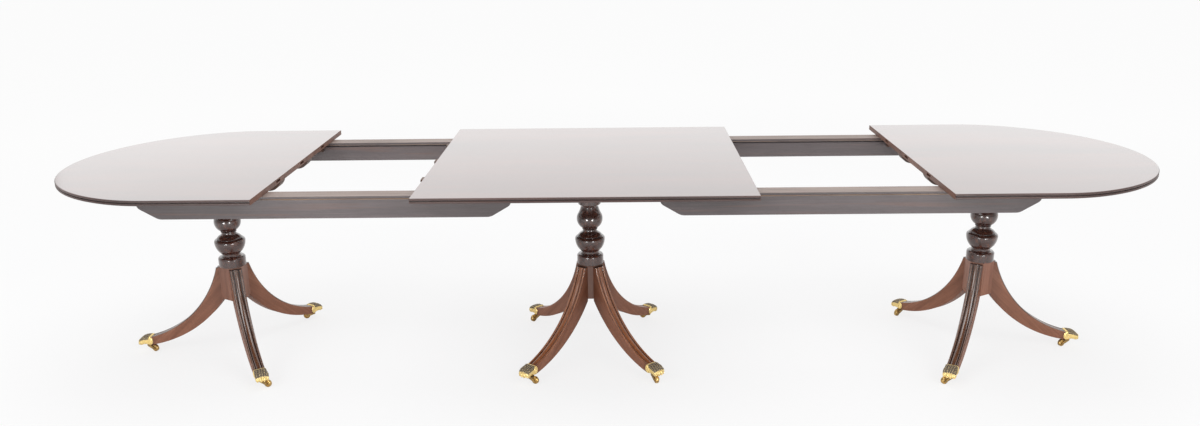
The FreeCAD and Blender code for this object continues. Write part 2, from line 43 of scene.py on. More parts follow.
# Sizes of the table that the finishes and the paws depend on, in metres
table_height = 0.750
under_z = 0.732
groove_low_z = under_z + 0.0084
groove_high_z = under_z + 0.0096
rail_top_z = 0.7315
rail_ledge_z = 0.7225
foot_top_z = 0.349
centre_x = -0.050
edge_x = 1.098
half_centre = 0.548
socket_depth = 0.016
socket_wall = 0.0045
sockets_half_span = 0.30
column_setback = 0.302
leg_reach = 0.348
leg_toe_top_z = 0.060
leg_root_top_z = 0.343
leg_root_x = 0.046
leg_ear_x = 0.059
leg_upper_radius = 0.412
leg_root_half = 0.022
leg_toe_half = 0.019
reed_depth = 0.0040
shoe_length = 0.054

section_x = {"left": -edge_x - column_setback, "centre": centre_x, "right": edge_x + column_setback}
section_body = {"left": "left_end", "centre": "centre_section", "right": "right_end"}
leg_angle = {
    "left": {"outer": 180, "front": -60, "back": 60},
    "centre": {"front_left": -126.5, "front_right": -51, "back_left": 129, "back_right": 51},
    "right": {"outer": 0, "front": -120, "back": 120},
}

# Shades of each wood, from dark to light
top_shades = ((0.032, 0.008, 0.006), (0.080, 0.021, 0.014), (0.155, 0.048, 0.030))
edge_shades = ((0.036, 0.017, 0.014), (0.070, 0.034, 0.029), (0.120, 0.062, 0.050))
joint_shades = ((0.085, 0.036, 0.024), (0.150, 0.070, 0.048), (0.215, 0.112, 0.080))
side_shades = ((0.165, 0.058, 0.028), (0.275, 0.110, 0.060), (0.390, 0.180, 0.108))
reed_shades = ((0.085, 0.025, 0.009), (0.165, 0.056, 0.022), (0.265, 0.100, 0.042))
turned_shades = ((0.024, 0.007, 0.004), (0.048, 0.014, 0.009), (0.086, 0.029, 0.018))
foot_shades = ((0.11, 0.040, 0.021), (0.21, 0.082, 0.046), (0.32, 0.142, 0.088))
rail_shades = ((0.054, 0.040, 0.042), (0.086, 0.064, 0.066), (0.128, 0.094, 0.093))
# Upper face of the rails: painted sheen and rubbing, broken up in ragged streaks
sheen_and_rubbed_shades = ((0.17, 0.125, 0.105), (0.25, 0.19, 0.165), (0.33, 0.26, 0.23))
ledge_shades = ((0.20, 0.125, 0.080), (0.28, 0.18, 0.115), (0.36, 0.24, 0.16))
frame_shades = ((0.050, 0.024, 0.016), (0.092, 0.046, 0.031), (0.150, 0.080, 0.055))

# Pores, dirt, wear, painted shade and a painted highlight that lie over the woods: how much each covers, and
# its colour
top_pores = (0.4, (0.03, 0.010, 0.008))
groove_painted_shade = (1.0, (0.010, 0.005, 0.004))
side_pores = (0.3, (0.090, 0.030, 0.015))
hollow_painted_shade = (0.8, (0.022, 0.008, 0.005))
crest_wear_and_highlight = (0.2, (0.34, 0.150, 0.072))
toe_dirt = (0.35, (0.035, 0.015, 0.011))
# Painted shade on the top of the ear, under the collar
ear_painted_shade = (0.9, (0.035, 0.015, 0.011))
foot_pores = (0.3, (0.05, 0.018, 0.012))
turning_wear = (0.6, (0.15, 0.052, 0.030))
rail_streaks = (0.5, (0.15, 0.075, 0.055))
rail_pores = (0.18, (0.030, 0.020, 0.020))
frame_pores = (0.5, (0.04, 0.020, 0.013))
frame_dust = (0.25, (0.26, 0.20, 0.15))

# Grain of every wood: patches to the metre along and across it, and each layer's part in the tone
figure_scale = (1.1, 8)
ribbon_scale = (2.2, 75)
fibre_scale = (9, 420)
pore_scale = (55, 1500)
figure_part = 0.55
ribbon_part = 0.4
fibre_part = 0.3
tone_range = (0.34, 0.94)
pore_range = (0.60, 0.70)
pore_relief = 0.6

# Metals, the shades from dark to light
castor_shades = ((0.44, 0.27, 0.085), (0.66, 0.44, 0.16), (0.80, 0.58, 0.26))
castor_tarnish = (0.7, (0.13, 0.085, 0.045))
paw_shades = ((0.84, 0.57, 0.18), (0.98, 0.74, 0.29), (1.00, 0.84, 0.42))
patina_shades = ((0.105, 0.082, 0.060), (0.230, 0.182, 0.128), (0.46, 0.37, 0.23))
bare_steel = (0.33, 0.32, 0.31)
steel_rust = (0.7, (0.16, 0.085, 0.050))

# What differs between the sections: the middle foot is darker with painted shade and the right foot lighter
# with painted light; the middle legs' reeds are lighter and less polished
foot_painted_light = {"left": 1.0, "centre": 0.55, "right": 1.22}
reed_light = {"left": 0.44, "centre": 1.60, "right": 0.48}
reed_polish = {"left": 0.90, "centre": 0.18, "right": 0.90}
# Painted shade on the legs' sides next to the column, strongest and reaching furthest on the middle section:
# its share, its colour and its reach
root_painted_shade_colour = (0.080, 0.022, 0.008)
root_painted_shade = {"left": (0.35, root_painted_shade_colour), "centre": (0.65, root_painted_shade_colour), "right": (0.35, root_painted_shade_colour)}
root_painted_shade_reach = {"left": 0.060, "centre": 0.095, "right": 0.060}

# Paws in millimetres; places along a paw go from 0 at the leg to 1 at the nose
paw_rows = 126
paw_columns = 140
paw_half_width = ((0, 19.8), (0.15, 20.4), (0.4, 22.0), (0.7, 23.2), (0.88, 21.0), (1, 17.0))
paw_top = ((0, 61.0), (0.15, 62.4), (0.4, 62.0), (0.65, 58.5), (0.85, 51.0), (1, 42.0))
paw_bottom = ((0, 28.4), (0.12, 28.6), (0.2, 29.2), (0.6, 29.2), (0.85, 30.5), (1, 33.0))
paw_length = shoe_length / mm - 3.0
nose_from = 0.86
band_end = (0.075, 0.090)
band_lift = 0.5
leg_end_round = 0.20
toe_end_round = 0.62
round_change = (0.08, 0.45)

# Fur of a paw: its reach, its tiers of locks, and the waves (height, count, shift) that bend the tiers
fur_from = 0.10
fur_full = 0.13
fur_end = 0.96
fur_sides = (0.05, 0.45)
fur_length = 0.74
fur_tiers = 6.0
fur_locks = 20.0
fur_lift = 2.4
tier_waves = ((0.22, 5.0, 0.0), (0.10, 13.0, 1.0))
lock_sway = 0.10
sway_along = 7.0
sway_around = 3.0
sway_by_tier = 2.1
lock_stagger = 2.4
lock_width = 1.25
lock_taper = 0.75
lock_root = 0.30
hollow_bright = 0.02
crest_bright = 0.70

# Toes: their places across the paw in pitches, the outer ones' setback, and how bright they are rubbed
toe_places = (-1.5, -0.5, 0.5, 1.5)
toe_pitch = 11.6
outer_toe_setback = 5.0
toe_bright = 0.58

# A toe's ball, knuckle and claw: how far behind the tip, how high, the three radii, and the rows and columns
toe_parts = (
    (11.0, 39.0, (10.4, 6.0, 10.2), 16, 24),
    (15.0, 44.5, (8.0, 5.4, 7.0), 16, 24),
    (4.6, 33.6, (4.4, 2.6, 4.2), 12, 16),
)

# Flange over each side of the joint with the leg, and its pin, in millimetres
flange_z = 45.0
flange_x = leg_reach / mm + 1.0
flange_half_length = 10.0
flange_half_height = 15.0
flange_proud = 22.4
flange_rim_drop = 2.8
flange_rim_from = 0.72
pin_x = leg_reach / mm - 2.0
pin_proud = 22.2
pin_radii = (2.4, 1.5, 2.4)

# Lamps: name, place, aim, width, height, power, and whether it shows only in polish
lamps = (
    ("overhead", (0.0, 0.0, 4.2), (0.0, 0.0, 0.0), 5.0, 3.0, 70.0, False),
    ("front_left", (-3.7, -4.0, 3.8), (-0.6, 0.0, 0.5), 4.2, 2.2, 75.0, False),
    ("front_right", (3.7, -4.0, 3.8), (0.6, 0.0, 0.5), 4.2, 2.2, 75.0, False),
    ("near_left", (-2.0, -4.3, 0.42), (0.0, 0.0, 0.42), 0.9, 0.62, 64.0, True),
    ("near_right", (2.0, -4.3, 0.42), (0.0, 0.0, 0.42), 0.9, 0.62, 64.0, True),
    ("behind", (1.9, 5.2, 2.0), (1.9, 0.0, 0.75), 14.0, 2.2, 34.0, True),
)

# Half the floor's side, and the room's strength as light, as seen, and as mirrored towards the front
half_floor = 30.0
room_light = 0.80
room_white = 0.972
front_white = 0.472

# Camera of the photograph: its picture in pixels, its angles in radians and its place
photo_width = 1200.0
focal = 975.85
pitch = 0.2901
roll = 0.0133
yaw = -0.0181
camera_place = (0.1010 + centre_x, -3.4534, 1.5704)
sensor_width = 36.0


# Shader expressions

class Socket:
    """A shader socket; arithmetic on it adds Math nodes to its finish."""

    def __init__(self, finish, link):
        self.finish = finish
        self.link = link

    def __add__(self, other):
        return self.finish.math("ADD", self, other)

    def __sub__(self, other):
        return self.finish.math("SUBTRACT", self, other)

    def __rsub__(self, other):
        return self.finish.math("SUBTRACT", other, self)

    def __mul__(self, other):
        return self.finish.math("MULTIPLY", self, other)

    def __pow__(self, other):
        return self.finish.math("POWER", self, other)

    def __abs__(self):
        return self.finish.math("ABSOLUTE", self, 0.0)

    __radd__ = __add__
    __rmul__ = __mul__


class Finish:
    """One material, or the world, while its nodes are being put together."""

    def __init__(self, name, kind=bpy.data.materials):
        self.made = kind.new(name)
        self.made.use_nodes = True
        self.tree = self.made.node_tree
        self.tree.nodes.clear()

    def node(self, kind, settings=None, inputs=None, out=0):
        """Any node: its settings are set first, then the values or links of its sockets."""
        made = self.tree.nodes.new(kind)
        for key, value in (settings or {}).items():
            if key == "stops":
                while len(made.color_ramp.elements) < len(value):
                    made.color_ramp.elements.new(1.0)
                for element, (place, colour) in zip(made.color_ramp.elements, value):
                    element.position = place
                    element.color = (*colour, 1.0)
            else:
                setattr(made, key, value)
        for key, value in (inputs or {}).items():
            if isinstance(value, Socket):
                self.tree.links.new(value.link, made.inputs[key])
            else:
                made.inputs[key].default_value = value
        return Socket(self, made.outputs[out]) if made.outputs else None

    def math(self, operation, a, b):
        return self.node("ShaderNodeMath", {"operation": operation}, {0: a, 1: b})

    def step(self, value, low, high):
        """0 below low, 1 above high and smooth between."""
        settings = {"interpolation_type": "SMOOTHSTEP"}
        return self.node("ShaderNodeMapRange", settings, {"Value": value, "From Min": low, "From Max": high})

    def within(self, value, low, high, soft):
        """1 between low and high, fading to 0 over soft on each side."""
        return self.step(value, low - soft, low) * (1.0 - self.step(value, high, high + soft))

    def mix(self, factor, a, b):
        """Colour a where factor is 0 and b where it is 1."""
        a = (*a, 1.0) if isinstance(a, tuple) else a
        b = (*b, 1.0) if isinstance(b, tuple) else b
        return self.node("ShaderNodeMix", {"data_type": "RGBA"}, {0: factor, 6: a, 7: b}, 2)

    def laid(self, colour, mask, layer):
        """The colour under a layer that covers its share of the mask."""
        share, over = layer
        return self.mix(mask * share, colour, over)

    def ramp(self, value, colours):
        """Colours at even places along 0 to 1."""
        last = len(colours) - 1
        stops = [(k / last, colour) for k, colour in enumerate(colours)]
        return self.node("ShaderNodeValToRGB", {"stops": stops}, {"Fac": value})

    def place(self):
        """Where the point is in the table's frame."""
        return self.node("ShaderNodeTexCoord", None, None, "Object")

    def ray(self, name):
        """1 for rays of that kind and 0 for others."""
        return self.node("ShaderNodeLightPath", None, None, name)

    def turned(self, vector, move=(0, 0, 0), turn=(0, 0, 0), scale=(1, 1, 1)):
        """The vector scaled, turned and then moved."""
        inputs = {"Vector": vector, "Location": move, "Rotation": turn, "Scale": scale}
        return self.node("ShaderNodeMapping", None, inputs)

    def axis(self, vector, name):
        return self.node("ShaderNodeSeparateXYZ", None, {0: vector}, name)

    def noise(self, vector, scale, detail=2.0, rough=0.5, bend=0.0):
        """Cloudy noise about 0.5, with that many patches to the metre."""
        inputs = {"Vector": vector, "Scale": scale, "Detail": detail, "Roughness": rough, "Distortion": bend}
        return self.node("ShaderNodeTexNoise", None, inputs)

    def streaks(self, vector, along, across, **kind):
        """Noise drawn out along X: so many patches to the metre along it and across it."""
        return self.noise(self.turned(vector, scale=(along, across, across)), 1.0, **kind)

    def bump(self, height, depth):
        """A relief of that depth in metres where height goes from 0 to 1."""
        return self.node("ShaderNodeBump", None, {"Height": height, "Distance": depth, "Strength": 1.0})

    def done(self, **inputs):
        """The finished surface, from values or sockets named as on the shader with spaces as underscores."""
        named = {key.replace("_", " "): value for key, value in inputs.items()}
        shader = self.node("ShaderNodeBsdfPrincipled", None, named)
        self.node("ShaderNodeOutputMaterial", None, {"Surface": shader})
        return self.made


def blend(mask, a, b):
    """Value a where the mask is 0 and b where it is 1, for numbers, arrays or sockets."""
    return a + mask * (b - a)


# Woods

def grain(finish, along_x):
    """Wood with its fibres along X of a vector: tone from 0 dark to 1 light, fibre relief and pores."""
    figure = finish.streaks(along_x, *figure_scale, detail=3.0, rough=0.55, bend=0.6)
    ribbon = finish.streaks(along_x, *ribbon_scale, detail=3.0, rough=0.6, bend=0.4)
    fibre = finish.streaks(along_x, *fibre_scale)
    pores = finish.step(finish.streaks(along_x, *pore_scale, detail=1.0), *pore_range)
    tone = figure * figure_part + ribbon * ribbon_part + fibre * fibre_part
    return finish.step(tone, *tone_range), fibre, pores


def shaded(shades, light):
    """The shades, each made lighter or darker."""
    return [tuple(light * part for part in shade) for shade in shades]


def table_top_wood(name):
    """Polished mahogany above, darker reeds at the edge with painted shade in the groove, bare wood at the
    joints and below.
    """
    f = Finish(name)
    at = f.place()
    tone, fibre, pores = grain(f, at)
    x, y, z = (f.axis(at, letter) for letter in "XYZ")
    polished = f.laid(f.ramp(tone, top_shades), pores, top_pores)
    # Painted shade in the groove along the edge
    groove = f.within(z, groove_low_z, groove_high_z, 0.9 * mm)
    edge = f.laid(f.ramp(tone, edge_shades), groove, groove_painted_shade)
    bare = f.ramp(tone, joint_shades)
    top_face = f.step(z, table_height - 0.9 * mm, table_height - 0.3 * mm)
    below = 1.0 - f.step(z, under_z + 0.2 * mm, under_z + 0.6 * mm)
    from_joint = f.math("MINIMUM", abs(abs(x) - edge_x), abs(abs(x - centre_x) - half_centre))
    socket_height = f.within(z, under_z + socket_wall, table_height - socket_wall, 0.4 * mm)
    socket = socket_height * (1.0 - f.step(from_joint, socket_depth, socket_depth + 1.0 * mm))
    socket = socket * (1.0 - f.step(abs(y), sockets_half_span, sockets_half_span + 10.0 * mm))
    joint = f.math("MAXIMUM", socket, 1.0 - f.step(from_joint, 0.2 * mm, 0.4 * mm))
    colour = f.mix(joint, f.mix(top_face, edge, polished), bare)
    colour = f.mix(below, colour, bare)
    raw = f.math("MAXIMUM", joint, below)
    shine = top_face * (1.0 - raw)
    haze = f.noise(at, 5.0, detail=3.0)
    return f.done(
        Base_Color=colour,
        Roughness=blend(shine, blend(raw, 0.42, 0.55), 0.10 + 0.06 * haze),
        Coat_Weight=shine * 0.9,
        Coat_Roughness=0.10,
        Coat_IOR=1.7,
        Specular_IOR_Level=0.6,
        Normal=f.bump(fibre, 0.02 * mm),
    )


def leg_wood(name, section, angle):
    """Mahogany with its grain down the leg; the broad reed and edge beads have painted shade in the hollows
    between them.
    """
    f = Finish(name)
    column_x = section_x[section]
    turn = math.radians(-angle)
    move = (-column_x * math.cos(turn), -column_x * math.sin(turn), 0.0)
    leg = f.turned(f.place(), move, (0.0, 0.0, turn))
    slope = math.atan2(leg_root_top_z - leg_toe_top_z, leg_reach - leg_ear_x)
    tone, fibre, pores = grain(f, f.turned(leg, turn=(0.0, -slope, 0.0)))
    x, y, z = (f.axis(leg, letter) for letter in "XYZ")

    # Depth below the reeds' crests, measured from the middle of the arc they follow
    chord_x = leg_ear_x - leg_reach
    chord_z = leg_root_top_z - leg_toe_top_z
    chord = math.hypot(chord_x, chord_z)
    rise = math.sqrt(leg_upper_radius**2 - (chord / 2) ** 2)
    arc_x = (leg_reach + leg_ear_x) / 2 + chord_z / chord * rise
    arc_z = (leg_toe_top_z + leg_root_top_z) / 2 - chord_x / chord * rise
    depth = ((x - arc_x) ** 2.0 + (z - arc_z) ** 2.0) ** 0.5 - leg_upper_radius

    # The reeded face lies between the leg's sides, which taper to the toe
    taper = (leg_root_half - leg_toe_half) / (leg_reach - leg_root_x)
    outward = abs(y) + (x - leg_root_x) * taper
    inside = 1.0 - f.step(outward, leg_root_half - 0.8 * mm, leg_root_half - 0.3 * mm)
    reeds = inside * (1.0 - f.step(depth, reed_depth + 0.4 * mm, reed_depth + 1.2 * mm))
    hollow = reeds * f.step(depth, 2.4 * mm, reed_depth)
    crest = reeds * (1.0 - f.step(depth, 0.2 * mm, 1.2 * mm))

    side = f.laid(f.ramp(tone, side_shades), pores, side_pores)
    # Painted shade: the sides darken towards the column
    by_column = 1.0 - f.step(x, leg_root_x, leg_root_x + root_painted_shade_reach[section])
    side = f.laid(side, by_column, root_painted_shade[section])
    colour = f.mix(reeds, side, f.ramp(tone, shaded(reed_shades, reed_light[section])))
    # Painted shade in the hollows between the reeds
    colour = f.laid(colour, hollow, hollow_painted_shade)
    # Wear and a painted highlight lighten the crests of the reeds
    colour = f.laid(colour, crest, crest_wear_and_highlight)
    # Dirt darkens the leg by the shoe; painted shade darkens the top of the ear under the collar
    by_shoe = f.step(x, leg_reach - 30.0 * mm, leg_reach)
    ear_top = f.step(z, leg_root_top_z - 0.6 * mm, leg_root_top_z - 0.1 * mm)
    colour = f.laid(f.laid(colour, by_shoe, toe_dirt), ear_top, ear_painted_shade)
    return f.done(
        Base_Color=colour,
        Roughness=blend(reeds, 0.42, 0.22) + 0.12 * f.noise(leg, 30.0, detail=3.0),
        Specular_IOR_Level=0.35,
        Coat_Weight=0.06 + reed_polish[section] * (reeds - 0.85 * hollow),
        Coat_Roughness=0.14,
        Coat_IOR=2.0,
        Normal=f.bump(fibre - pores * pore_relief, 0.06 * mm),
    )


def column_wood(name, section):
    """Very dark polished turning, worn redder in patches, on a lighter faceted foot that carries painted
    shade on the middle section and painted light on the right one.
    """
    f = Finish(name)
    at = f.turned(f.place(), (-section_x[section], 0.0, 0.0))
    tone, fibre, pores = grain(f, f.turned(at, turn=(0.0, math.pi / 2, 0.0)))
    is_foot = 1.0 - f.step(f.axis(at, "Z"), foot_top_z - 0.6 * mm, foot_top_z)
    # Painted shade darkens the middle foot and painted light lightens the right foot
    foot = f.ramp(tone, shaded(foot_shades, foot_painted_light[section]))
    foot = f.laid(foot, pores, foot_pores)
    colour = f.mix(is_foot, f.ramp(tone, turned_shades), foot)
    worn = f.step(f.noise(at, 60.0, detail=3.0), 0.50, 0.68) * (1.0 - is_foot)
    colour = f.laid(colour, worn, turning_wear)
    return f.done(
        Base_Color=colour,
        Roughness=blend(is_foot, 0.20, 0.40) + 0.10 * f.noise(at, 40.0),
        Coat_Weight=blend(is_foot, 0.86, 0.04),
        Coat_Roughness=0.12,
        Coat_IOR=1.55,
        Normal=f.bump(fibre, 0.03 * mm),
    )


def rail_wood(name):
    """Dark satin rail with reddish streaks, a pale upper face of painted sheen and rubbing, and a tan ledge.
    """
    f = Finish(name)
    at = f.place()
    tone, fibre, pores = grain(f, at)
    z = f.axis(at, "Z")
    stretched = f.turned(at, scale=(1.6, 30, 60))
    streak = f.step(f.noise(stretched, 1.0, detail=2.0, bend=0.4), 0.56, 0.70)
    dark = f.laid(f.ramp(tone, rail_shades), streak, rail_streaks)
    dark = f.laid(dark, pores, rail_pores)
    upper = f.step(z, rail_top_z - 1.2 * mm, rail_top_z - 0.2 * mm)
    ledge = f.within(z, rail_ledge_z - 0.5 * mm, rail_ledge_z + 0.5 * mm, 0.4 * mm)
    ragged = f.streaks(at, 6, 120, detail=3.0)
    # Painted sheen and rubbing on the upper face
    colour = f.mix(upper * f.step(ragged, 0.25, 0.45), dark, f.ramp(tone, sheen_and_rubbed_shades))
    colour = f.mix(ledge * f.step(ragged, 0.30, 0.50), colour, f.ramp(tone, ledge_shades))
    return f.done(
        Base_Color=colour,
        Roughness=blend(upper, 0.38, 0.50) + 0.14 * f.noise(at, 12.0, detail=3.0),
        Coat_Weight=0.15,
        Coat_Roughness=0.25,
        Normal=f.bump(fibre - pores * pore_relief, 0.12 * mm),
    )


def frame_wood(name, turn):
    """Oiled brown wood of the bearers, blocks, guides and tongues, with dust."""
    f = Finish(name)
    at = f.place()
    tone, fibre, pores = grain(f, f.turned(at, turn=turn))
    colour = f.laid(f.ramp(tone, frame_shades), pores, frame_pores)
    dusty = f.step(f.noise(at, 9.0, detail=4.0), 0.50, 0.75)
    return f.done(
        Base_Color=f.laid(colour, dusty, frame_dust),
        Roughness=0.46 + 0.16 * f.noise(at, 25.0, detail=3.0),
        Normal=f.bump(fibre - pores * pore_relief, 0.15 * mm),
    )


# Metals

def castor_brass(name, tarnish):
    """Golden brass, dulled by tarnish in patches, with fine scratches."""
    f = Finish(name)
    at = f.place()
    patch = f.noise(at, 130.0, detail=4.0, rough=0.6)
    scratch = f.noise(f.turned(at, scale=(900, 900, 200)), 1.0)
    dull = f.step(patch, blend(tarnish, 0.62, 0.32), blend(tarnish, 0.80, 0.55))
    return f.done(
        Base_Color=f.laid(f.ramp(patch, castor_shades), dull, castor_tarnish),
        Roughness=blend(dull, 0.24, 0.46) + 0.10 * scratch,
        Metallic=blend(dull, 1.0, 0.65),
        Normal=f.bump(patch, 0.1 * mm),
    )


def paw_brass(name):
    """Cast brass: the hollows of the fur hold dark patina, and the crests and toes are rubbed bright."""
    f = Finish(name)
    at = f.place()
    worn = f.node("ShaderNodeAttribute", {"attribute_name": "bright"}, None, "Fac")
    patch = f.noise(at, 160.0, detail=4.0, rough=0.6)
    bright = f.step(worn + 0.35 * patch, 0.45, 0.85)
    return f.done(
        Base_Color=f.mix(bright, f.ramp(worn * 1.6, patina_shades), f.ramp(patch, paw_shades)),
        Roughness=blend(bright, 0.48, 0.30) + 0.08 * patch,
        Metallic=blend(bright, 0.30, 0.45),
        Normal=f.bump(f.noise(at, 420.0, detail=3.0), 0.2 * mm),
    )


def screw_steel(name):
    """Dull steel with a little rust."""
    f = Finish(name)
    rust = f.step(f.noise(f.place(), 300.0, detail=4.0), 0.52, 0.70)
    return f.done(
        Base_Color=f.laid(bare_steel, rust, steel_rust),
        Roughness=blend(rust, 0.36, 0.61),
        Metallic=blend(rust, 1.0, 0.4),
    )


# Surfaces worked out on grids

def through(keys, at):
    """A smooth curve through (place, value) keys: cubic Hermite pieces with central slopes."""
    place, value = np.array(keys, float).T
    slope = np.gradient(value, place)
    k = np.clip(np.searchsorted(place, at, side="right") - 1, 0, len(place) - 2)
    span = place[k + 1] - place[k]
    t = (at - place[k]) / span
    rest = 1.0 - t
    near = value[k] * (1.0 + 2.0 * t) + slope[k] * span * t
    far = value[k + 1] * (1.0 + 2.0 * rest) - slope[k + 1] * span * rest
    return near * rest**2 + far * t**2


def smooth_step(value, low, high):
    """0 below low, 1 above high and between them 3 t squared less 2 t cubed."""
    t = np.clip((value - low) / (high - low), 0.0, 1.0)
    return t * t * (3.0 - 2.0 * t)


def around(columns):
    """Angles of a full turn, as one row."""
    return np.linspace(0.0, 2.0 * math.pi, columns, endpoint=False)[None, :]


def ellipsoid(middle, radii, rows, columns):
    """Middle plus the radii times the unit sphere over latitude and longitude."""
    lat = np.linspace(-math.pi / 2, math.pi / 2, rows)[:, None]
    lon = around(columns)
    ball = np.broadcast_arrays(np.cos(lat) * np.cos(lon), np.cos(lat) * np.sin(lon), np.sin(lat))
    return np.asarray(middle) + np.asarray(radii) * np.stack(ball, -1)


def paw_body():
    """Rounded sections along the paw, squarer at the leg, swollen towards the toes and drawn in at the nose.

    Each section is a superellipse by its polar angle. Tiers of pointed locks of fur lift its upper side:
    across a tier a lock is a raised cosine that narrows to its tip, and along it the lock rises and then
    drops. Slow waves bend the tiers and the locks. A plain band is raised at the leg, and both ends close
    on their middles.
    Returns the points and how brightly each is rubbed.
    """
    s = np.linspace(0.0, 1.0, paw_rows)[:, None]
    turn = around(paw_columns)
    half, high, low = (through(keys, s[:, 0])[:, None] for keys in (paw_half_width, paw_top, paw_bottom))
    into_nose = np.clip((s - nose_from) / (1.0 - nose_from), 0.0, 1.0)
    nose = np.sqrt(np.clip(1.0 - into_nose**2, 0.0, 1.0))
    power = 2.0 / blend(smooth_step(s, *round_change), leg_end_round, toe_end_round)
    reach = (np.abs(np.cos(turn)) ** power + np.abs(np.sin(turn)) ** power) ** (-1.0 / power)
    across = reach * np.cos(turn)
    upward = reach * np.sin(turn)

    waves = sum(height * np.sin(count * turn + shift) for height, count, shift in tier_waves)
    tiers = fur_tiers * (s - fur_from) / fur_length + waves
    tier = np.floor(tiers)
    rise = tiers - tier
    sway = turn + lock_sway * np.sin(sway_along * s + sway_around * turn + sway_by_tier * tier)
    lock = 0.5 + 0.5 * np.cos(fur_locks * sway + lock_stagger * tier)
    tuft = np.clip(lock_width * lock - lock_taper * rise**2, 0.0, 1.0) * blend(rise, lock_root, 1.0)
    upper = smooth_step(np.sin(turn), *fur_sides) * smooth_step(s, fur_from, fur_full)
    upper = upper * (1.0 - smooth_step(s, nose_from, fur_end))
    lift = fur_lift * upper * tuft + band_lift * (1.0 - smooth_step(s, *band_end))

    x = leg_reach / mm + paw_length * s + 0.0 * turn
    y = (half * nose + lift) * across
    z = (low + high) / 2 + ((high - low) / 2 * nose + lift) * upward
    bright = np.clip(blend(upper, 1.0, blend(tuft, hollow_bright, crest_bright)), 0.0, 1.0)
    skin = np.stack([x, y, z], -1)
    first, last = (np.broadcast_to(row.mean(0), row.shape)[None] for row in (skin[0], skin[-1]))
    return np.concatenate([first, skin, last]) * mm, np.concatenate([bright[:1], bright, bright[-1:]])


def paw_toes():
    """Four toes, the outer two set back: each a tall ball, a knuckle above it and a short claw in front."""
    tip = (leg_reach + shoe_length) / mm
    grids = []
    for place in toe_places:
        setback = outer_toe_setback if abs(place) > 1 else 0.0
        for behind, height, radii, rows, columns in toe_parts:
            middle = (tip - behind - setback, place * toe_pitch, height)
            grids.append(ellipsoid(middle, radii, rows, columns) * mm)
    return grids


def shoe_flange(side):
    """A rounded plate over the side of the joint: a lens outline, domed a little from its rim."""
    ring = np.linspace(0.0, 1.0, 10)[:, None]
    turn = around(48)
    x = flange_x + flange_half_length * ring * np.cos(turn)
    z = flange_z + flange_half_height * ring * np.sin(turn)
    proud = flange_proud - flange_rim_drop * smooth_step(ring, flange_rim_from, 1.0) + 0.0 * turn
    return np.stack([x, side * proud, z], -1) * mm


def shoe_pin(side):
    """The domed head of the pin through the flange."""
    return ellipsoid((pin_x, side * pin_proud, flange_z), pin_radii, 10, 20) * mm


def grid_faces(rows, columns, start):
    """Quads of a grid whose columns close on themselves."""
    row = np.arange(rows - 1)[:, None] * columns
    column = np.arange(columns)[None, :]
    beside = (column + 1) % columns
    corners = (row + column, row + beside, row + columns + beside, row + columns + column)
    return np.stack(corners, -1).reshape(-1, 4) + start


def build(name, grids, bright, material, body):
    """One mesh of all the grids, its seams and poles merged, riding on a body."""
    points = np.concatenate([grid.reshape(-1, 3) for grid in grids])
    faces = []
    start = 0
    for grid in grids:
        rows, columns = grid.shape[:2]
        faces.append(grid_faces(rows, columns, start))
        start += rows * columns
    mesh = bpy.data.meshes.new(name)
    mesh.from_pydata(points.tolist(), [], np.concatenate(faces).tolist())
    mesh.attributes.new("bright", "FLOAT", "POINT").data.foreach_set("value", np.concatenate(bright))
    whole = bmesh.new()
    whole.from_mesh(mesh)
    bmesh.ops.remove_doubles(whole, verts=whole.verts, dist=0.001 * mm)
    bmesh.ops.recalc_face_normals(whole, faces=whole.faces)
    whole.to_mesh(mesh)
    whole.free()
    mesh.polygons.foreach_set("use_smooth", np.ones(len(mesh.polygons), bool))
    mesh.materials.append(material)
    piece = bpy.data.objects.new(name, mesh)
    bpy.context.scene.collection.objects.link(piece)
    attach(piece, body)
    return piece


def moved(points, column_x, angle):
    """Points of a leg along +X, turned to the leg's angle and carried to its column."""
    c, s = math.cos(math.radians(angle)), math.sin(math.radians(angle))
    x, y, z = points[..., 0], points[..., 1], points[..., 2]
    return np.stack([column_x + c * x - s * y, s * x + c * y, z], -1)


def paint(node, material):
    """One finish all over a node."""
    mesh = nodes[node].data
    mesh.materials.clear()
    mesh.materials.append(material)


# Finishes on the table's own nodes
top_finish = table_top_wood("polished_top")
rail_finish = rail_wood("rail")
along_finish = frame_wood("frame_along", (0.0, 0.0, 0.0))
across_finish = frame_wood("frame_across", (0.0, 0.0, math.pi / 2))
fork_finish = castor_brass("fork_brass", 1.0)
wheel_finish = castor_brass("wheel_brass", 0.6)
paw_finish = paw_brass("paw_brass")
steel_finish = screw_steel("screw_steel")
for section, places in leg_angle.items():
    paint(section + "_top", top_finish)
    paint(section + "_front_bearer", along_finish)
    paint(section + "_back_bearer", along_finish)
    paint(section + "_rail_guides", along_finish)
    paint(section + "_head_block", across_finish)
    paint(section + "_screws", steel_finish)
    paint(section + "_column", column_wood(section + "_column_wood", section))
    for place, angle in places.items():
        leg = section + "_" + place
        paint(leg + "_leg", leg_wood(leg + "_wood", section, angle))
        paint(leg + "_castor_fork", fork_finish)
        paint(leg + "_castor_wheel", wheel_finish)
paint("leaf_tongues", across_finish)
for side in ("left", "right"):
    for face in ("front", "back"):
        paint(side + "_" + face + "_rail", rail_finish)

# Cast paws in place of the plain shoes; the flanges and pins are bright all over
body_points, body_bright = paw_body()
toes = paw_toes()
fittings = [make(side) for side in (-1, 1) for make in (shoe_flange, shoe_pin)]
one_paw = [body_points] + toes + fittings
one_bright = [body_bright.ravel()]
one_bright += [np.full(grid.shape[0] * grid.shape[1], toe_bright) for grid in toes]
one_bright += [np.ones(grid.shape[0] * grid.shape[1]) for grid in fittings]
for section, places in leg_angle.items():
    grids = [moved(grid, section_x[section], angle) for angle in places.values() for grid in one_paw]
    bright = one_bright * len(places)
    paws = build(section + "_paws", grids, bright, paw_finish, section_body[section])
    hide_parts(section + "_paw_shoes")


# Floor, light and camera

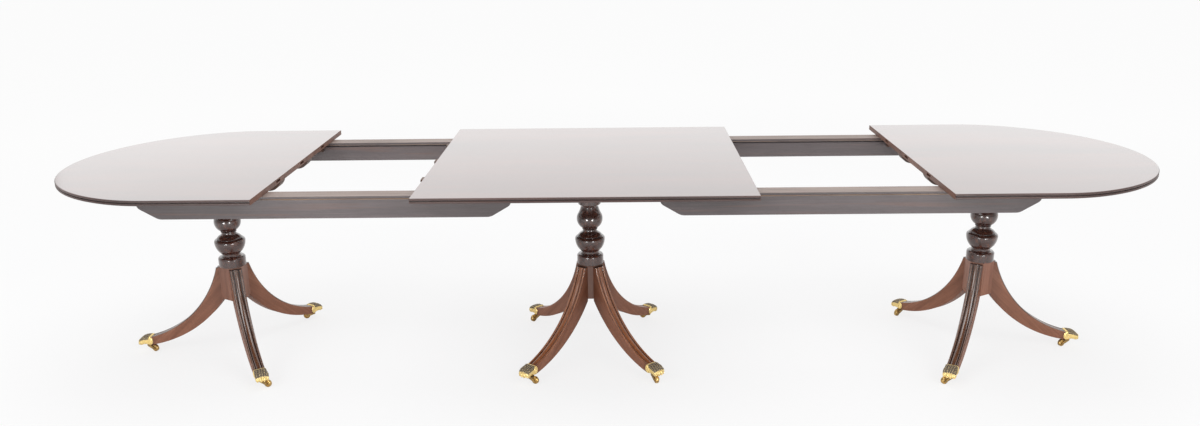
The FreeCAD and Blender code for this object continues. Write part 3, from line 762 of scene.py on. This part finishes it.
def floor_finish():
    """Pale floor: a camera sees it near white, whiter away from the table, with the table's shadows faint."""
    f = Finish("floor")
    at = f.place()
    away = (f.axis(at, "X") ** 2.0 + f.axis(at, "Y") ** 2.0) ** 0.5
    far = f.step(away, 2.0, 6.0)
    white = f.mix(far, (0.970, 0.970, 0.973), (1.0, 1.0, 1.0))
    plain = f.node("ShaderNodeBsdfDiffuse", None, {"Color": (0.90, 0.90, 0.90, 1.0)})
    glow = f.node("ShaderNodeEmission", None, {"Color": white, "Strength": 1.0})
    glowing = f.ray("Is Camera Ray") * blend(far, 0.80, 0.88)
    shader = f.node("ShaderNodeMixShader", None, {0: glowing, 1: plain, 2: glow})
    f.node("ShaderNodeOutputMaterial", None, {"Surface": shader})
    return f.made


def studio_light():
    """Plain as light, white to the camera and in polish, but dimmer in polish towards the front."""
    f = Finish("studio", bpy.data.worlds)
    seen = f.math("MAXIMUM", f.ray("Is Camera Ray"), f.ray("Is Transmission Ray"))
    direction = f.node("ShaderNodeTexCoord", None, None, "Generated")
    front = 1.0 - f.step(f.axis(direction, "Y"), -0.5, 0.3)
    plain = blend(seen, room_light, room_white)
    mirrored = blend(front, room_white, front_white)
    strength = blend(f.ray("Is Glossy Ray"), plain, mirrored)
    sky = f.node("ShaderNodeBackground", None, {"Color": (1.0, 1.0, 1.0, 1.0), "Strength": strength})
    f.node("ShaderNodeOutputWorld", None, {"Surface": sky})
    return f.made


def softbox(name, place, aim, width, height, power, mirrored_only):
    """A rectangular lamp that faces a point and isn't seen itself; one may show in polish alone."""
    lamp = bpy.data.lights.new(name, "AREA")
    lamp.shape = "RECTANGLE"
    lamp.size = width
    lamp.size_y = height
    lamp.energy = power
    holder = bpy.data.objects.new(name, lamp)
    bpy.context.scene.collection.objects.link(holder)
    away = Vector(place) - Vector(aim)
    holder.rotation_euler = away.to_track_quat("Z", "Y").to_euler()
    holder.location = place
    holder.visible_camera = False
    holder.visible_diffuse = not mirrored_only


def photo_camera():
    """The photograph's camera, from the directions of its view, of the picture's right and of its down."""
    forward = np.array([math.sin(yaw) * math.cos(pitch), math.cos(yaw) * math.cos(pitch), -math.sin(pitch)])
    level_right = np.array([math.cos(yaw), -math.sin(yaw), 0.0])
    level_down = np.cross(forward, level_right)
    right = math.cos(roll) * level_right + math.sin(roll) * level_down
    down = -math.sin(roll) * level_right + math.cos(roll) * level_down
    lens = bpy.data.cameras.new("camera")
    lens.sensor_width = sensor_width
    lens.lens = sensor_width * focal / photo_width
    camera = bpy.data.objects.new("camera", lens)
    bpy.context.scene.collection.objects.link(camera)
    axes = np.eye(4)
    axes[:3] = np.stack([right, -down, -forward, camera_place], -1)
    camera.matrix_world = Matrix(axes.tolist())
    return camera


floor_mesh = bpy.data.meshes.new("floor")
floor_corners = [(x * half_floor, y * half_floor, 0.0) for x, y in ((-1, -1), (1, -1), (1, 1), (-1, 1))]
floor_mesh.from_pydata(floor_corners, [], [(0, 1, 2, 3)])
floor_mesh.materials.append(floor_finish())
floor = bpy.data.objects.new("floor", floor_mesh)
bpy.context.scene.collection.objects.link(floor)
bpy.context.scene.world = studio_light()
for lamp in lamps:
    softbox(*lamp)
bpy.context.scene.camera = photo_camera()
bpy.context.scene.view_settings.view_transform = "Standard"
